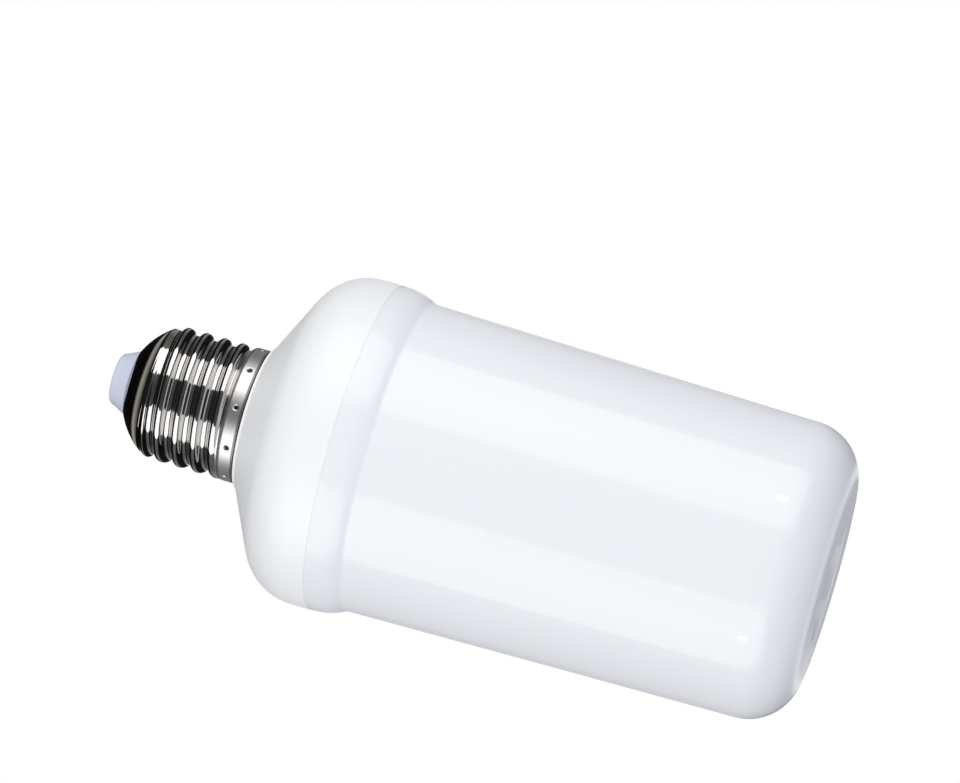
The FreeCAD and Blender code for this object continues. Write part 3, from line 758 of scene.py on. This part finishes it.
def softbox(name, azimuth, elevation, distance, width, height, radiance, mirrored):
    """Area light that faces the bulb, either mirrored in glossy skins or lighting the matt ones.

    Azimuth 0 is the camera's side, and 90 is +X.
    """
    turn = math.radians(azimuth)
    lift = math.radians(elevation)
    direction = Vector((math.sin(turn) * math.cos(lift), -math.cos(turn) * math.cos(lift), math.sin(lift)))
    data = bpy.data.lights.new(name, "AREA")
    data.shape = "RECTANGLE"
    data.size = width
    data.size_y = height
    data.energy = radiance * math.pi * width * height
    light = bpy.data.objects.new(name, data)
    light.location = Vector((0.0, 0.0, AXIS_POINT_HEIGHT)) + distance * direction
    light.rotation_mode = "QUATERNION"
    light.rotation_quaternion = (-direction).to_track_quat("-Z", "Y")
    light.visible_camera = False
    light.visible_glossy = mirrored
    light.visible_diffuse = not mirrored
    bpy.context.scene.collection.objects.link(light)


def make_lights():
    """The studio's lights, from the table above."""
    for name, values in LIGHTS.items():
        softbox(name, *values)


def make_world():
    """White to the camera, soft to matt surfaces, and with dark and bright parts in reflections.

    The sum of a direction and the one to the photograph's camera is the normal of the skin that mirrors
    one into the other, so its share of Z is that skin's tilt.
    """
    world = bpy.data.worlds.new("studio")
    bpy.context.scene.world = world
    world.use_nodes = True
    tree = world.node_tree
    tree.nodes.clear()
    out = tree.nodes.new("ShaderNodeOutputWorld")
    path = tree.nodes.new("ShaderNodeLightPath")
    place = tree.nodes.new("ShaderNodeTexCoord")
    axes = tree.nodes.new("ShaderNodeSeparateXYZ")
    tree.links.new(place.outputs["Generated"], axes.inputs["Vector"])
    halfway = tree.nodes.new("ShaderNodeVectorMath")
    halfway.operation = "ADD"
    halfway.inputs[1].default_value = (0.0, -math.cos(AXIS_LEAN), -math.sin(AXIS_LEAN))
    tree.links.new(place.outputs["Generated"], halfway.inputs[0])
    facing = tree.nodes.new("ShaderNodeVectorMath")
    facing.operation = "NORMALIZE"
    tree.links.new(halfway.outputs["Vector"], facing.inputs[0])
    tilt = tree.nodes.new("ShaderNodeSeparateXYZ")
    tree.links.new(facing.outputs["Vector"], tilt.inputs["Vector"])

    def levels(value, stops):
        """Brightness that follows a direction's share of an axis, from -1 to 1."""
        scaled = tree.nodes.new("ShaderNodeMapRange")
        scaled.inputs["From Min"].default_value = -1.0
        scaled.inputs["From Max"].default_value = 1.0
        tree.links.new(value, scaled.inputs["Value"])
        ramp = tree.nodes.new("ShaderNodeValToRGB")
        elements = ramp.color_ramp.elements
        while len(elements) < len(stops):
            elements.new(0.5)
        for element, (position, color) in zip(elements, stops):
            element.position = (position + 1.0) / 2.0
            element.color = (*color, 1.0)
        tree.links.new(scaled.outputs["Result"], ramp.inputs["Fac"])
        return ramp.outputs["Color"]

    def blend(first, second, kind):
        node = tree.nodes.new("ShaderNodeMix")
        node.data_type = "RGBA"
        node.blend_type = kind
        node.inputs["Factor"].default_value = 1.0
        tree.links.new(first, node.inputs["A"])
        tree.links.new(second, node.inputs["B"])
        return node.outputs["Result"]

    def glow(color=None):
        node = tree.nodes.new("ShaderNodeBackground")
        if color:
            tree.links.new(color, node.inputs["Color"])
        else:
            node.inputs["Color"].default_value = (1.0, 1.0, 1.0, 1.0)
        return node.outputs["Background"]

    def choose(switch, when_off, when_on):
        node = tree.nodes.new("ShaderNodeMixShader")
        tree.links.new(switch, node.inputs["Fac"])
        tree.links.new(when_off, node.inputs[1])
        tree.links.new(when_on, node.inputs[2])
        return node.outputs["Shader"]

    depth = levels(axes.outputs["Y"], REFLECTED_DEPTH)
    share = levels(tilt.outputs["Z"], MIRRORED_SHARE)
    glows = levels(tilt.outputs["Z"], MIRRORED_GLOW)
    reflected = blend(blend(depth, share, "MULTIPLY"), glows, "LIGHTEN")
    even = blend(levels(axes.outputs["Z"], ROOM_HEIGHT), levels(axes.outputs["Y"], ROOM_DEPTH), "MULTIPLY")
    lit = choose(path.outputs["Is Glossy Ray"], glow(even), glow(reflected))
    tree.links.new(choose(path.outputs["Is Camera Ray"], lit, glow()), out.inputs["Surface"])


def make_floor():
    """Pale floor under the standing bulb, which fades into the white.

    It shows from above only, as the photograph looks from below.
    """
    mesh = bpy.data.meshes.new("floor")
    corners = ((-1, -1), (1, -1), (1, 1), (-1, 1))
    mesh.from_pydata([(FLOOR_HALF * x, FLOOR_HALF * y, 0.0) for x, y in corners], [], [(0, 1, 2, 3)])
    material = bpy.data.materials.new("pale_floor")
    material.use_nodes = True
    tree = material.node_tree
    shader = tree.nodes["Principled BSDF"]
    shader.inputs["Roughness"].default_value = FLOOR_ROUGHNESS
    shade = tree.nodes.new("ShaderNodeTexNoise")
    shade.inputs["Scale"].default_value = FLOOR_MOTTLE
    ramp = tree.nodes.new("ShaderNodeMix")
    ramp.data_type = "RGBA"
    for socket, grey in zip(("A", "B"), FLOOR_SHADES):
        ramp.inputs[socket].default_value = (grey, grey, grey, 1.0)
    tree.links.new(shade.outputs["Fac"], ramp.inputs["Factor"])
    tree.links.new(ramp.outputs["Result"], shader.inputs["Base Color"])
    clear = tree.nodes.new("ShaderNodeBsdfTransparent")
    side = tree.nodes.new("ShaderNodeNewGeometry")
    distance = tree.nodes.new("ShaderNodeVectorMath")
    distance.operation = "LENGTH"
    tree.links.new(side.outputs["Position"], distance.inputs[0])
    fade = tree.nodes.new("ShaderNodeMapRange")
    fade.interpolation_type = "SMOOTHSTEP"
    fade.inputs["From Min"].default_value, fade.inputs["From Max"].default_value = FLOOR_FADE
    tree.links.new(distance.outputs["Value"], fade.inputs["Value"])
    hidden = tree.nodes.new("ShaderNodeMath")
    hidden.operation = "MAXIMUM"
    tree.links.new(side.outputs["Backfacing"], hidden.inputs[0])
    tree.links.new(fade.outputs["Result"], hidden.inputs[1])
    mix = tree.nodes.new("ShaderNodeMixShader")
    tree.links.new(hidden.outputs["Value"], mix.inputs["Fac"])
    tree.links.new(shader.outputs["BSDF"], mix.inputs[1])
    tree.links.new(clear.outputs["BSDF"], mix.inputs[2])
    tree.links.new(mix.outputs["Shader"], tree.nodes["Material Output"].inputs["Surface"])
    mesh.materials.append(material)
    floor = bpy.data.objects.new("floor", mesh)
    floor.visible_diffuse = False
    floor.visible_glossy = False
    floor.visible_transmission = False
    floor.visible_shadow = False
    bpy.context.scene.collection.objects.link(floor)


make_camera()
materials = make_materials()
dress_frame(materials)
make_pieces(materials)
make_lights()
make_world()
make_floor()
bpy.context.scene.view_settings.view_transform = "Standard"
